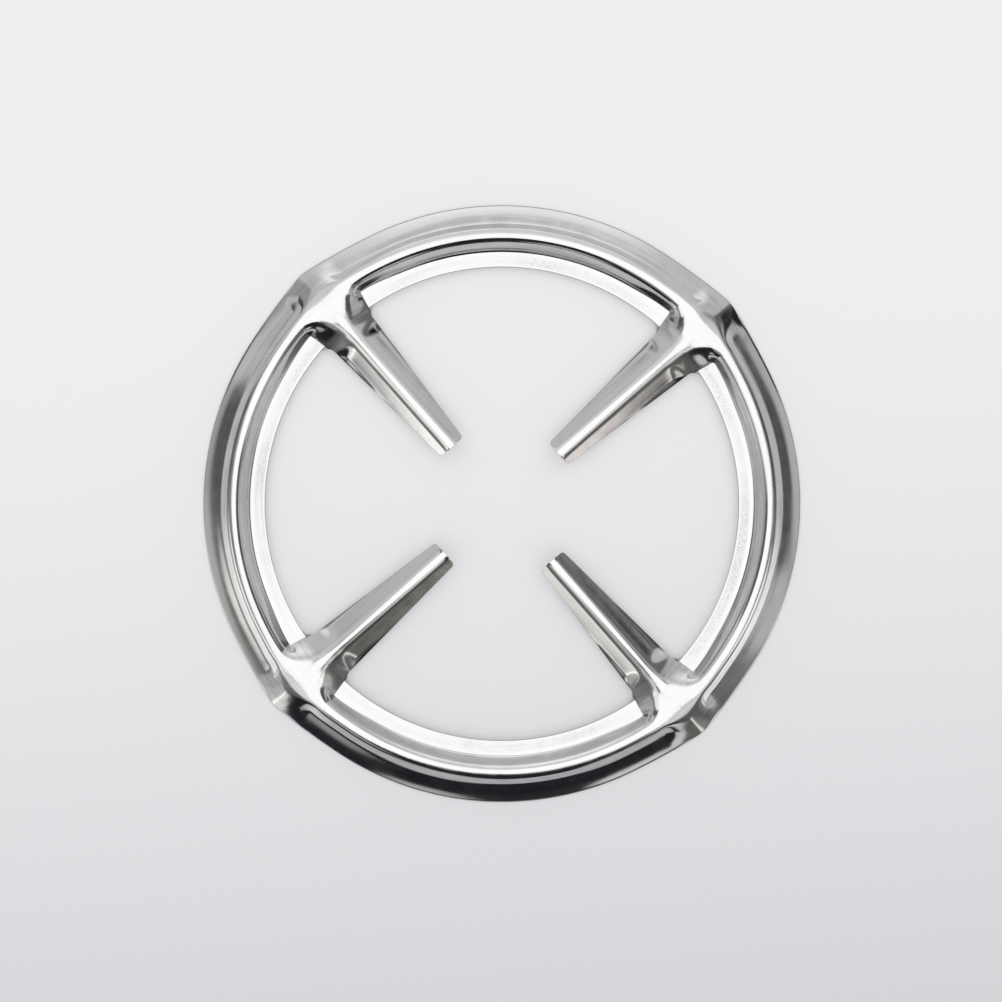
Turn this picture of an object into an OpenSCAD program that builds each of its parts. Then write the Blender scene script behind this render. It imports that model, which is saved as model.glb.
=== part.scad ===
// Pressed stainless pan stand for a gas burner.
// One sheet: a round bead with an inner flange and an outer skirt, four arms of inverted
// V section that point at the middle, and a raised pad where each arm crosses the bead.
// The sheet is lofted. Each section runs from the crest line to a cut edge through two
// corners, crest and foot, which are given sharp and then bent to a radius.
// Origin: middle of the stand on the plane it rests on, +Z up.

/* [Sheet] */
// Thickness of the sheet
sheet_t = 0.7; // [0.5:0.05:1]
// Overall height of the stand
height = 7.2; // [6.6:0.1:9]
// Bend radius along the top of the bead, the arms and the pads
crest_bend = 3; // [1.5:0.1:3.4]
// Bend radius where the bead's inner wall meets the flange
foot_bend = 4; // [1.5:0.1:4.5]
// Bend radius of the groove between bead and skirt
valley_bend = 1.2; // [0.6:0.1:2]

/* [Ring] */
// The ring's widths are given in plan, from the rim inwards
// Diameter of the outer rim, between the noses
rim_d = 200; // [170:0.5:240]
// Width of the sloping skirt, from the rim to the groove
skirt_w = 5.95; // [4.5:0.05:8]
// Width of the bead's outer wall, from the groove to the top corner
outer_wall_w = 2.35; // [1.8:0.05:3]
// Width of the bead's top between its corners, before bending
bead_top_w = 4; // [3.6:0.1:5]
// Width of the bead's inner wall, from the top corner to the flange
inner_wall_w = 2.4; // [1.8:0.1:3.2]
// Width of the flat inner flange
flange_w = 6.1; // [5:0.1:7.5]
// Height of the bead above the inner flange
bead_rise = 5; // [3.5:0.1:5.6]
// Height of the bead above the groove
valley_drop = 3.2; // [2.4:0.1:3.8]

/* [Arms] */
// Number of arms
arm_count = 4; // [3:1:6]
// Distance of the arm tips from the middle
tip_r = 25.2; // [18:0.2:34]
// Width across the cut edges at the tip
tip_w = 9.8; // [8:0.1:11]
// Width across the cut edges at the root
root_w = 17.3; // [16:0.1:18.6]
// Width of the arm's top between its corners, before bending
arm_top_w = 3.6; // [3:0.1:4.4]
// Slope of the arm's walls, in degrees
arm_slope = 43; // [38:0.5:47]
// Width between the two creases that run from the root towards the tip
crease_w = 13; // [12:0.1:14]
// Slope of the narrow strip outside each crease, in degrees
strip_slope = 22; // [12:1:30]
// Corner radius at the tip
tip_corner = 1.2; // [0.6:0.1:2]
// Radius of the cut where arm and opening meet
root_fillet = 3.4; // [2.4:0.1:4.4]

/* [Pads] */
// Width of each pad where it leaves the bead
pad_w = 22.1; // [20:0.1:24]
// Radius in plan of the concave edge between bead and arm
pad_edge_r = 10.8; // [8:0.1:12]
// Radius of the pad's corner on the flange
pad_corner_r = 0.6; // [0.3:0.1:1.4]
// How far the pad's foot line lies inside the root cut
foot_inset = 0.5; // [0.2:0.1:0.9]
// Length over which the pad's flank turns into the arm's steeper wall
root_run = 2.3; // [1.6:0.1:4]

/* [Noses] */
// How far each pad runs out towards the rim in a nose
nose_out = 2.1; // [1:0.1:2.6]
// Bend radius over the top of the nose
nose_bend = 8; // [4:0.5:10]
// How far the rim stands out in a corner at each nose
corner_out = 1.9; // [0.6:0.1:2.6]
// Width of the nose at the rim, between its two hollows
nose_w = 4.2; // [2.5:0.1:8]
// Distance along the bead between the two grooves that end at a nose
groove_gap = 21.4; // [18:0.1:26]
// Bend radius at the foot of the hollow that ends each groove
hollow_bend = 3; // [1.2:0.1:6]

/* [Hidden] */

steel = [0.74, 0.74, 0.73];
least_bend = 0.22;          // shortest setback of a bend
top_room = 0.96;            // share of the half top that a bend may take up
wall_room = 0.48;           // share of a wall that the bend at either end may take up
strip_room = 0.8;           // share of a flange that the bend beside it may take up
rim_lift = 0.87;            // height of the rim's upper edge, in sheet thicknesses
nose_span = 5.5;            // degrees over which the nose widens, each side of an arm
corner_span = 14;           // degrees over which the rim swells, each side of an arm
ridge_blunt = 1.2;          // degrees over which the ridge of nose and corner is rounded
groove_stop = 0.93;         // share of the way to the rim at which the groove has run out
foot_fade = 12;             // degrees over which the foot bend tightens towards a pad
root_bend = 0.6;            // bend radius of the creases at the root and along the arm
knee_margin = 0.8;          // least width of the strip outside a crease
open_from = 0.3;            // width of strip at which its slope begins to ease off
open_run = 1.2;             // further width over which it reaches its own slope
turn_share = 0.65;          // share of the root cut that lies beside the pad's corner
foot_share = 0.9;           // share of the foot line that the flank's corner follows
edge_lift = 0.1;            // share of the flank between the trimmed edge and its crease
spine_from = 0.45;          // where on the axis the first and last root sections start,
spine_to = 0.9;             // as shares of the way from the bead to the root cut
across = -90;               // direction square to the arm, towards its axis
bay_steps = 9;              // sections round half a bay, up to the root cut's centre
fan_steps = 3;              // sections round the pad's corner on the flange
flank_steps = 3;            // sections along the pad's straight foot
root_steps = 3;             // sections round the root cut, and past it to the arm
arm_steps = 7;              // sections along the arm
bay_bias = 0.86;            // below 1 the bay's sections crowd towards the pad
pad_bias = 1.25;            // above 1 the pad's sections crowd towards the arm's axis

rim_r = rim_d / 2;
valley_r = rim_r - skirt_w;
crest_out_r = valley_r - outer_wall_w;
crest_in_r = crest_out_r - bead_top_w;
bead_r = (crest_out_r + crest_in_r) / 2;
foot_r = crest_in_r - inner_wall_w;
opening_r = foot_r - flange_w;
rim_z = sheet_t * rim_lift;
flange_z = height - bead_rise;
valley_z = height - valley_drop;
half_bay = 180 / arm_count;

// Plain helpers. A point in plan is [x, y], and along(a) is the direction at angle a.
function along(a) = [cos(a), sin(a)];
function plan(p) = [p.x, p.y];
function raise(p, z) = [p.x, p.y, z];
function unit(v) = v / norm(v);
function angle_of(v) = atan2(v.y, v.x);
function mix(a, b, t) = a + (b - a) * t;
function clamp01(t) = min(1, max(0, t));
function ease(t) = let (c = clamp01(t)) c * c * (3 - 2 * c);

// A ridge seen from above: 1 on the arm's axis, running out to 0 at the span
function ridge(a, span) = let (blunt = sqrt(a * a + ridge_blunt * ridge_blunt) - ridge_blunt)
    pow(clamp01(1 - blunt / span), 2);

// From p along direction u to the far side of the circle round c
function reach(p, u, c, r) = let (v = p - c, b = v * u) p + u * (sqrt(b * b - v * v + r * r) - b);

// The arm's cut edge is a straight line that widens towards the root
taper = atan2((root_w - tip_w) / 2, opening_r - root_fillet - tip_r);
cut_normal = [-sin(taper), cos(taper)];
function cut_y(x) = tip_w / 2 + (x - tip_r) * tan(taper);

// Centre of the cut that rounds the corner between arm and opening
cut_off = cut_normal * [tip_r, tip_w / 2] + root_fillet;
cut_along = sqrt(pow(opening_r - root_fillet, 2) - pow(cut_off, 2));
cut_centre = cut_along * along(taper) + cut_off * cut_normal;
cut_end = taper + across;
function root_cut(a) = cut_centre + root_fillet * along(a);

// Centre of the concave edge that joins the bead's top to the arm's top
edge_side = arm_top_w / 2 + pad_edge_r;
edge_centre = [sqrt(pow(crest_in_r - pad_edge_r, 2) - pow(edge_side, 2)), edge_side];

// The pad's corner on the flange, and the straight foot from there to the root cut
pad_angle = asin(pad_w / 2 / foot_r);
pad_corner = foot_r * along(pad_angle);
foot_gap = root_fillet - foot_inset;
foot_dir = angle_of(pad_corner - cut_centre) - acos(foot_gap / norm(pad_corner - cut_centre));
cross_dir = foot_dir + acos(foot_gap / root_fillet);
turn_dir = cross_dir * turn_share;
foot_end = root_cut(cross_dir);
corner_in = pad_corner
    - pad_corner_r * (along(pad_angle) + along(foot_dir)) / (1 + cos(pad_angle - foot_dir));

// Half a bay, from the middle of the bay to the arm. An inner station is the list
// [crest line point, top corner, foot corner, cut edge, foot bend, top bend], and the crest
// line runs round the bead to the arm's axis and then in along the arm.
pad_steps = fan_steps + flank_steps;
bay_angles = [for (i = [0 : bay_steps])
    mix(half_bay, angle_of(cut_centre), pow(i / bay_steps, bay_bias))];
pad_angles = [for (i = [0 : pad_steps]) pad_angle * pow(1 - i / pad_steps, pad_bias)];
rim_angles = concat(bay_angles, pad_angles);
arm_xs = [for (i = [0 : arm_steps - 1]) mix(cut_centre.x - root_run, tip_r, i / arm_steps)];

function crest_in(a) = a > angle_of(edge_centre)
    ? crest_in_r * along(a)
    : reach([0, 0], along(a), edge_centre, pad_edge_r);

function bead_station(a) = [
    raise(bead_r * along(a), height),
    raise(crest_in(a), height),
    raise(foot_r * along(a), flange_z),
    raise(opening_r * along(a), flange_z),
    mix(pad_corner_r, foot_bend, ease((a - pad_angle) / foot_fade)),
    crest_bend
];

// Round the pad's corner on the flange, t from 0 to 1
function fan_station(t, a) = let (
    dir = mix(pad_angle, foot_dir, t),
    foot = corner_in + pad_corner_r * along(dir)
) [
    raise(bead_r * along(a), height),
    raise(reach(foot, along(dir), edge_centre, pad_edge_r), height),
    raise(foot, flange_z),
    raise(root_cut(mix(0, turn_dir, t)), flange_z),
    pad_corner_r,
    crest_bend
];

// Along the pad's straight foot, t from 0 at the corner to 1 at the cut edge
function flank_station(t, a) = let (
    start = corner_in + pad_corner_r * along(foot_dir),
    foot = mix(start, foot_end, t * foot_share),
    cut = root_cut(mix(turn_dir, cross_dir, t))
) [
    raise(bead_r * along(a), height),
    raise(reach(foot, along(foot_dir), edge_centre, pad_edge_r), height),
    raise(foot, flange_z),
    raise(cut, flange_z),
    mix(pad_corner_r, root_bend, t),
    crest_bend
];

// Section square across the arm at x. The crease runs out where the cut edge reaches it.
function arm_station(x) = let (
    cut = cut_y(x),
    knee = min(crease_w / 2, cut - knee_margin),
    open = ease((cut - crease_w / 2 - open_from) / open_run),
    knee_z = height - (knee - arm_top_w / 2) * tan(arm_slope)
) [
    [x, 0, height],
    [x, arm_top_w / 2, height],
    [x, knee, knee_z],
    [x, cut, knee_z - (cut - knee) * tan(mix(arm_slope, strip_slope, open))],
    root_bend,
    crest_bend
];

// Round the root cut, where the cut trims the pad's flank above its foot
function root_station(t) = let (
    cut = root_cut(mix(cross_dir, cut_end, t)),
    top = raise(reach(cut, along(mix(foot_dir, across, t)), edge_centre, pad_edge_r), height),
    past = (cut - cut_centre) * along(foot_dir) - foot_gap,
    edge = raise(cut, flange_z + bead_rise * past / (past + norm(plan(top) - cut)))
) [
    [mix(bead_r, cut_centre.x, mix(spine_from, spine_to, t)), 0, height],
    top,
    mix(edge, top, edge_lift),
    edge,
    root_bend,
    crest_bend
];

// Between the root cut and the arm: the flank steepens and the crease opens
function blend_station(t) = let (
    x = cut_centre.x - root_run * t,
    root = root_station(1),
    arm = arm_station(x)
) [
    arm[0],
    arm[1],
    [x, mix(root[2].y, arm[2].y, ease(t)), mix(root[2].z, arm[2].z, ease(t))],
    [x, arm[3].y, mix(root[3].z, arm[3].z, ease(t))],
    root_bend,
    crest_bend
];

// The tip is cut square, with its corner rounded
tip_station = let (
    inset = tip_corner * (1 - sqrt(0.5)),
    knee = tip_w / 2 - tip_corner,
    wall_z = function (y) height - (y - arm_top_w / 2) * tan(arm_slope)
) [
    [tip_r, 0, height],
    [tip_r, arm_top_w / 2, height],
    [tip_r, knee, wall_z(knee)],
    [tip_r + inset, tip_w / 2 - inset, wall_z(tip_w / 2 - inset)],
    root_bend,
    crest_bend
];

inner_stations = concat(
    [for (a = bay_angles) bead_station(a)],
    [for (i = [0 : fan_steps]) fan_station(i / fan_steps, pad_angles[i])],
    [for (i = [1 : flank_steps]) flank_station(i / flank_steps, pad_angles[fan_steps + i])],
    [for (i = [1 : root_steps]) root_station(i / root_steps)],
    [for (i = [1 : root_steps - 1]) blend_station(i / root_steps)],
    [for (x = arm_xs) arm_station(x)],
    [arm_station(tip_r + tip_corner), tip_station]
);

// Outside the crest line the groove runs round the bead. Beside each nose it swings out to the
// rim in a parabola, which leaves a shallow hollow on either side of the nose.
swing_from = asin(groove_gap / 2 / valley_r);
swing_to = asin(nose_w / 2 / (rim_r + corner_out));

// An outer station runs from the crest line out to the rim
function outer_station(a) = let (
    nose = ridge(a, nose_span),
    top = crest_out_r + nose_out * nose,
    rim = rim_r + corner_out * ridge(a, corner_span),
    swing = clamp01((swing_from - a) / (swing_from - swing_to)),
    groove = mix(valley_r, rim, groove_stop * swing * swing),
    groove_z = mix(rim_z, valley_z, (rim - groove) / skirt_w)
) [
    raise(bead_r * along(a), height),
    raise(top * along(a), height),
    raise(groove * along(a), min(groove_z, valley_z)),
    raise(rim * along(a), rim_z),
    mix(valley_bend, hollow_bend, ease(swing)),
    mix(crest_bend, nose_bend, nose)
];

outer_stations = [for (a = rim_angles) outer_station(a)];

// A section: its points from crest line to cut edge, each with the slope there
rows = 7;
function bend(a, corner, b) = (a + 2 * corner + b) / 4;
function setback(r, turn, room) = min(max(least_bend, r * tan(abs(turn) / 2)), room);

function section(s) = let (
    wall = s[1] - s[2],
    strip = s[2] - s[3],
    steep = atan2(wall.z, norm(plan(wall))),
    low = atan2(strip.z, norm(plan(strip))),
    inward = unit(plan(wall)),
    top_cut = setback(s[5], steep, min(norm(s[0] - s[1]) * top_room, norm(wall) * wall_room)),
    foot_cut = setback(s[4], steep - low, min(norm(strip) * strip_room, norm(wall) * wall_room)),
    top_a = s[1] + top_cut * unit(s[0] - s[1]),
    top_b = s[1] - top_cut * unit(wall),
    foot_a = s[2] + foot_cut * unit(wall),
    foot_b = s[2] - foot_cut * unit(strip)
) [
    [s[0], inward, 0],
    [top_a, inward, 0],
    [bend(top_a, s[1], top_b), inward, steep / 2],
    [top_b, inward, steep],
    [foot_a, inward, steep],
    [bend(foot_a, s[2], foot_b), inward, (steep + low) / 2],
    [foot_b, inward, low],
    [s[3], inward, low]
];

// The underside lies one thickness in, square to the surface
function below(p) = p[0] + sheet_t * [p[1].x * sin(p[2]), p[1].y * sin(p[2]), -cos(p[2])];

inner = [for (s = inner_stations) section(s)];
outer = [for (s = outer_stations) section(s)];
m = len(inner) - 1;
q = len(outer) - 1;

// Place a point of the half bay on one side of arm k. The arms lie on the diagonals.
function place(p, k, side) = let (
    a = (k + 0.5) * 2 * half_bay,
    y = side * p.y
) [p.x * cos(a) - y * sin(a), p.x * sin(a) + y * cos(a), p.z];

// Columns go once round: out of a bay to the arm on side -1, and back on side 1
function go_round(last, shared) = [
    for (k = [0 : arm_count - 1]) concat(
        [for (i = [0 : last]) [k, -1, i]],
        [for (i = [last - shared : -1 : 1]) [k, 1, i]]
    )
];
inner_columns = [for (arm = go_round(m, 0)) each arm];
outer_columns = [for (arm = go_round(q, 1)) each arm];

spine_top = concat(
    [for (c = outer_columns) place(outer[c[2]][0][0], c[0], c[1])],
    [for (k = [0 : arm_count - 1]) for (i = [q + 1 : m]) place(inner[i][0][0], k, 1)]
);
inner_top = [for (c = inner_columns) for (j = [1 : rows]) place(inner[c[2]][j][0], c[0], c[1])];
outer_top = [for (c = outer_columns) for (j = [1 : rows]) place(outer[c[2]][j][0], c[0], c[1])];
inner_low = [for (c = inner_columns) for (j = [1 : rows]) place(below(inner[c[2]][j]), c[0], c[1])];
// The rim's lower edge is trimmed level, so that the stand rests on a narrow flat land
outer_low = [
    for (c = outer_columns) for (j = [1 : rows]) let (p = below(outer[c[2]][j]))
        place(j == rows ? raise(p, 0) : p, c[0], c[1])
];
land_edge = [for (c = outer_columns) place(raise(outer[c[2]][rows][0], 0), c[0], c[1])];
spine_low = [for (p = spine_top) p - [0, 0, sheet_t]];

points = concat(spine_top, inner_top, outer_top, spine_low, inner_low, outer_low, land_edge);

spine_count = len(spine_top);
inner_at = spine_count;
outer_at = inner_at + len(inner_top);
low_at = outer_at + len(outer_top);
land_at = 2 * low_at;

// Index of a point, given arm, side, station and row. Row 0 is the crest line.
function outer_column(k, side, i) =
    (k * 2 * q + (side < 0 ? i : 2 * q - i)) % (arm_count * 2 * q);
function inner_column(k, side, i) =
    (k * (2 * m + 1) + (side < 0 ? i : 2 * m + 1 - i)) % (arm_count * (2 * m + 1));
function spine(k, side, i) = i > q
    ? arm_count * 2 * q + k * (m - q) + i - q - 1
    : outer_column(k, side, i);
function inner_id(k, side, i, j) = j == 0
    ? spine(k, side, i)
    : inner_at + inner_column(k, side, i) * rows + j - 1;
function outer_id(k, side, i, j) = j == 0
    ? spine(k, side, i)
    : outer_at + outer_column(k, side, i) * rows + j - 1;

// Two triangles for the cell a b c d, turned over when flip is true
function cell(a, b, c, d, flip) = flip ? [[a, c, b], [a, d, c]] : [[a, b, c], [a, c, d]];

function faces_of(k, side) = concat(
    [for (i = [0 : m - 1]) for (j = [0 : rows - 1]) let (
        a = inner_id(k, side, i, j),
        b = inner_id(k, side, i + 1, j),
        c = inner_id(k, side, i + 1, j + 1),
        d = inner_id(k, side, i, j + 1)
    ) each concat(
        cell(a, b, c, d, side < 0),
        cell(a + low_at, b + low_at, c + low_at, d + low_at, side > 0)
    )],
    [for (i = [0 : q - 1]) for (j = [0 : rows - 1]) let (
        a = outer_id(k, side, i, j),
        b = outer_id(k, side, i + 1, j),
        c = outer_id(k, side, i + 1, j + 1),
        d = outer_id(k, side, i, j + 1)
    ) each concat(
        cell(a, b, c, d, side > 0),
        cell(a + low_at, b + low_at, c + low_at, d + low_at, side < 0)
    )],
    // Cut edge round the bay and along the arm
    [for (i = [0 : m - 1]) let (
        a = inner_id(k, side, i, rows),
        b = inner_id(k, side, i + 1, rows)
    ) each cell(a, b, b + low_at, a + low_at, side < 0)],
    // Cut edge across the tip
    [for (j = [0 : rows - 1]) let (
        a = inner_id(k, side, m, j),
        b = inner_id(k, side, m, j + 1)
    ) each cell(b, a, a + low_at, b + low_at, side < 0)],
    // Rim: an upright edge and the land under it
    [for (i = [0 : q - 1]) let (
        a = outer_id(k, side, i, rows),
        b = outer_id(k, side, i + 1, rows),
        e = land_at + outer_column(k, side, i),
        f = land_at + outer_column(k, side, i + 1)
    ) each concat(
        cell(a, b, f, e, side > 0),
        cell(e, f, b + low_at, a + low_at, side > 0)
    )]
);

faces = [for (k = [0 : arm_count - 1]) for (side = [-1, 1]) each faces_of(k, side)];

module pot_stand() {
    color(steel) polyhedron(points = points, faces = faces, convexity = 8);
}

pot_stand();
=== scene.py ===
import math

import bmesh
import bpy
from mathutils import Matrix, Vector


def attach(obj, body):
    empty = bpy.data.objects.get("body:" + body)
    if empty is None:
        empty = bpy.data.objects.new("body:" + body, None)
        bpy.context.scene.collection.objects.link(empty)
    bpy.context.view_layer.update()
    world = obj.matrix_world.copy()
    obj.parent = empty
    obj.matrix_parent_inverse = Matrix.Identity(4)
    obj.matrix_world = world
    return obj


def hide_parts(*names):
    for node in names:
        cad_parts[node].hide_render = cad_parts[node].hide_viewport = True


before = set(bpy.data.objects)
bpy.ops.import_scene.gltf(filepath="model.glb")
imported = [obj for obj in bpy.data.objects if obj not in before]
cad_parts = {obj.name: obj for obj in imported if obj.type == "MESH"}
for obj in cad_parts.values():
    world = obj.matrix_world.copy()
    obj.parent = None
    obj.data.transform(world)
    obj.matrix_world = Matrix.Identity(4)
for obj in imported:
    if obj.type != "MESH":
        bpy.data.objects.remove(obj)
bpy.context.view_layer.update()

MM = 0.001

# The sheet and the ring, in millimetres: widths from the rim inwards, and levels
SHEET = 0.7
HEIGHT = 7.2
RIM_R = 100.0
SKIRT_W = 5.95
OUTER_WALL_W = 2.35
BEAD_TOP_W = 4.0
INNER_WALL_W = 2.4
FLANGE_W = 6.1
BEAD_RISE = 5.0
VALLEY_DROP = 3.2
SKIRT_CROWN = 0.3
RIM_LIFT = 0.87                 # height of the rim's upper edge, in sheet thicknesses

# Radii of the bends, and the largest share of each flat that a bend may take up
CREST_BEND = 3.4
OUTER_BEND = 1.8
ARM_BEND = 4.2
PAD_BEND = 7.0
NOSE_BEND = 8.0
FOOT_BEND = 1.4
VALLEY_BEND = 2.2
HOLLOW_BEND = 7.0
ROOT_BEND = 0.6
LEAST_BEND = 0.3
TOP_ROOM = 0.96
WALL_ROOM = 0.48
STRIP_ROOM = 0.8

# How far the ring's bends move over between the pads
FOOT_LEAN = 0.85
CREST_LEAN = 0.2
SHOULDER_LEAN = 0.3
GROOVE_LEAN = 0.55

# The arms: half widths, slopes of the flanks in degrees, and the cut that rounds each root
ARM_COUNT = 4
TIP_R = 25.2
TIP_HALF = 4.9
TIP_CORNER = 1.2
ROOT_HALF = 8.65
ARM_TOP_HALF = 1.8
CREASE_HALF = 6.5
KNEE_MARGIN = 0.8               # least width of the strip outside a crease
ARM_SLOPE = 43.0
STRIP_SLOPE = 22.0
OPEN_FROM = 0.3                 # width of strip at which its slope begins to ease off
OPEN_RUN = 1.2                  # further width over which it reaches its own slope
ROOT_FILLET = 3.4
ROOT_RUN = 4.6                  # length over which the root turns into the arm
ROOT_SHARE = 0.3                # share of the top bend's change that falls beside the root cut
EDGE_LIFT = 0.1                 # share of the flank between the trimmed edge and its crease
SPINE_FROM = 0.45               # where on the axis the first and last root sections start,
SPINE_TO = 0.9                  # as shares of the way from the bead to the root cut

# The pads, with their concave edges and small corners
PAD_HALF = 11.05
PAD_EDGE_R = 10.8
PAD_CORNER_R = 0.6
PAD_DROP = 0.14
FOOT_INSET = 0.5
FOOT_SHARE = 0.9                # share of the foot line that the flank's corner follows
TURN_SHARE = 0.65               # share of the root cut that lies beside the pad's corner
PAD_FADE = 3.0                  # degrees over which the top bend tightens away from a pad
FOOT_FADE = 12.0                # degrees over which the foot bend opens away from a pad

# The noses beyond the pads, the corners of the rim, and the groove that runs out beside them
NOSE_OUT = 2.1
NOSE_DROP = 0.45
NOSE_HALF = 2.1
NOSE_SPAN = 5.5
CORNER_OUT = 1.9
CORNER_SPAN = 14.0
RIDGE_BLUNT = 1.2
GROOVE_GAP_HALF = 10.7
GROOVE_STOP = 0.93              # share of the way to the rim at which the groove has run out
GROOVE_RUN_OUT = 0.75           # share of the gap over which the groove fills up

# What follows from them
VALLEY_R = RIM_R - SKIRT_W
CREST_OUT_R = VALLEY_R - OUTER_WALL_W
CREST_IN_R = CREST_OUT_R - BEAD_TOP_W
BEAD_R = (CREST_OUT_R + CREST_IN_R) / 2.0
FOOT_R = CREST_IN_R - INNER_WALL_W
OPENING_R = FOOT_R - FLANGE_W
FLANGE_Z = HEIGHT - BEAD_RISE
VALLEY_Z = HEIGHT - VALLEY_DROP
RIM_Z = SHEET * RIM_LIFT
HALF_BAY = 180.0 / ARM_COUNT

# How finely the blank is ruled before it is pressed
BAY_COLUMNS = 40
SHOULDER_COLUMNS = 5
FAN_COLUMNS = 14
FLANK_COLUMNS = 10
PAD_COLUMNS = FAN_COLUMNS + FLANK_COLUMNS
PAD_CROWDING = 1.2              # above 1 the pad's columns crowd towards the arm's axis
ROOT_COLUMNS = 8
BLEND_COLUMNS = 9
ARM_COLUMNS = 26
TIP_COLUMNS = 5
FLAT_ROWS = 3
CREST_ROWS = 8
WALL_ROWS = 5
FOOT_ROWS = 5
STRIP_ROWS = 7
ROWS = FLAT_ROWS + CREST_ROWS + WALL_ROWS + FOOT_ROWS + STRIP_ROWS

# How the blank is joined and finished
HALF_SEAM = 0.004
RING_SEAM = 0.01
EASE_STRENGTH = 0.5
EASE_TIMES = 6
BROKEN_EDGE = 0.1
BROKEN_EDGE_STEPS = 2
EDGE_ANGLE = 60.0
SMOOTH_ANGLE = 50.0

# Colours of the steel: dull and bright streaks, clean lands, scuffs, and cut edges that painted
# shade darkens nearly to black
DULL_STREAK = (0.54, 0.54, 0.54, 1.0)
BRIGHT_STREAK = (0.69, 0.69, 0.688, 1.0)
CLEAN_STEEL = (0.66, 0.66, 0.66, 1.0)
SCUFFED_STEEL = (0.40, 0.415, 0.44, 1.0)
# The cut faces are dull sheared steel, painted nearly black with shade
CUT_EDGE_AND_PAINTED_SHADE = (0.05, 0.05, 0.055, 1.0)
CUT_SHADE = 0.7
CLEAN_SHARE = 0.8
ARM_CLEAN_SHARE = 0.75
SCUFF_SHARE = 0.45

# Where the marks and the painted shade at the cut edges lie, in millimetres from the edges and
# levels that they follow
ARM_MARKS_FADE = 3.0
FLANGE_BAND = (0.1, 0.4)
CREST_BAND = (-0.5, -0.1)
SCUFF_INNER = (0.4, 1.2)
SCUFF_OUTER = (4.6, 2.6)
RIM_CUT_AND_SHADE_BAND = (0.02, 0.22)
OPENING_CUT_AND_SHADE_BAND = (0.05, 0.3)

# Lie, depth in millimetres and dullness of the marks
RING_STREAK_RUN = 0.004
ARM_STREAK_RUN = 0.04
HATCH_SLANT = 0.25
STREAK_DEPTH = 0.014
ARM_STREAK_DEPTH = 0.004
HAIR_DEPTH = 0.0003
WAVE_DEPTH = 0.02
PEEL_DEPTH = 0.001
BRIGHT_ROUGHNESS = 0.08
DULL_ROUGHNESS = 0.16
SCUFF_ROUGHNESS = 0.25

# The picture: a camera straight above, turned a little against the stand
MM_PER_PIXEL = 0.33552
IMAGE_PIXELS = 1002
STAND_CENTRE_PIXEL = (501.85, 503.75)
CAMERA_TURN = 3.75
CAMERA_HEIGHT = 750.0
CAMERA_SENSOR = 36.0

# The paper, darker away from the picture's top by painted shade. Its lift brightens it in the
# picture, and by half of that in the steel.
FLOOR_SIZE = 6000.0
PAPER_SHADED_END = (0.325, 0.33, 0.345, 1.0)
PAPER_LIT_END = (0.59, 0.59, 0.592, 1.0)
WHITE = (1.0, 1.0, 1.0, 1.0)
PAPER_SHADE_FALL = (-300.0, 100.0)
PAPER_SHADE_SLANT = -0.16
PAPER_GRAIN = 0.06
PAPER_LIFT = 0.28
LIFT_IN_STEEL = 0.5

# Patches of window light on the paper beyond the rim, which the steel alone shows
GLOW_AZIMUTHS = (118.0, 243.0)
GLOW_R = 115.0
GLOW_HALF = 50.0
GLOW_LIGHT = 0.75

# The lamp panel over the stand, with the places of its edges in the picture's own axes.
# Its right and bottom edges are crisp, and the other two are diffused.
PANEL_SIZE = 340.0
PANEL_HEIGHT = 300.0
PANEL_LEFT = -124.0
PANEL_RIGHT = 128.0
PANEL_BOTTOM = -125.0
PANEL_TOP = 127.0
PANEL_CRISP = 4.0
PANEL_SOFT = 12.0
PANEL_LIGHT = 1.50

# The room's even light, and the tones of the walls that the steel reflects. A place in the
# room is told by the cosine of its angle from the picture's bottom, and by its elevation.
EVEN_LIGHT = (0.955, 0.965, 0.985, 1.0)
SIDE_WALL = 0.25
SIDE_WALL_AT_TOP = 0.70
SIDE_WALL_FADE = (0.0, -0.75)
BOTTOM_SHADE = 0.22
BOTTOM_FADE = (0.55, 0.90)
TOP_WALL_LOW = 1.2
TOP_WALL_HIGH = 0.82
TOP_WALL_FADE = (-0.80, -0.96)
TOP_WALL_RISE = (14.0, 42.0)
TOP_CEILING = (0.92, 0.92, 0.92, 1.0)
TOP_CEILING_FADE = (-0.45, -0.85)
TOP_CEILING_RISE = (40.0, 52.0)

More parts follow.
